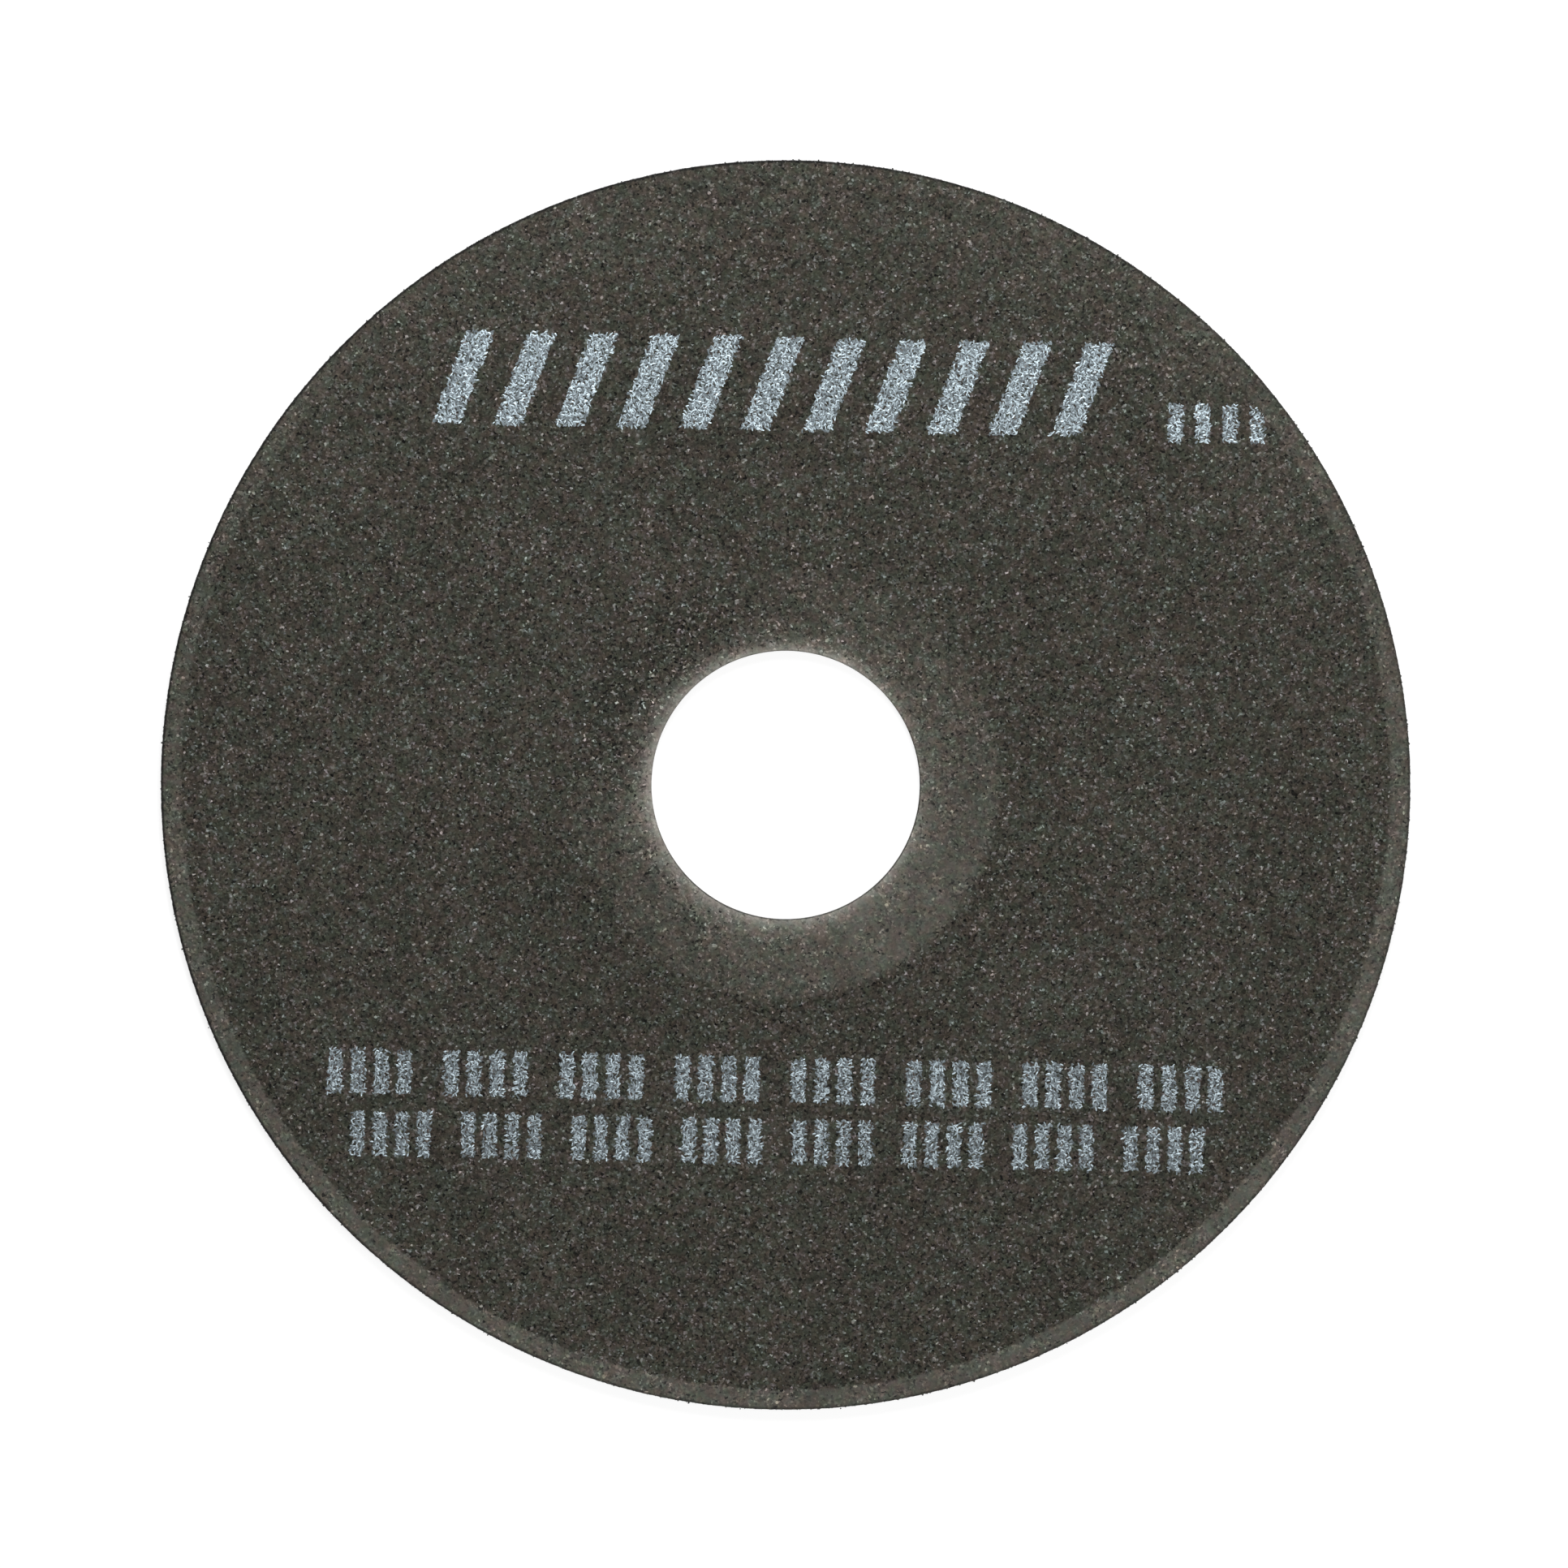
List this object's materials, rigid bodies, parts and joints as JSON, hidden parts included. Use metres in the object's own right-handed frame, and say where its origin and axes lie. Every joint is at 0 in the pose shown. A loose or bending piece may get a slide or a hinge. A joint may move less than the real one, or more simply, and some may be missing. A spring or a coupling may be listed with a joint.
{
  "type": "cut-off wheel",
  "caption": "Thin flat abrasive disc with a plain central arbor bore, smooth clamping and rim bands and open-grained faces, for parting off metal on a spindle.",
  "frame": {"origin": "on the bore axis, at the underside that the wheel lies on", "axes": "+Z along the bore axis, out of the printed face; X and Y in the plane of the wheel, which is round"},
  "size_m": [0.15, 0.15, 0.002],
  "materials": {
    "bonded_abrasive": "rough, open-grained, dark brownish grey"
  },
  "bodies": {
    "root": {"abrasive_wheel": "bonded_abrasive"}
  },
  "joints": []
}
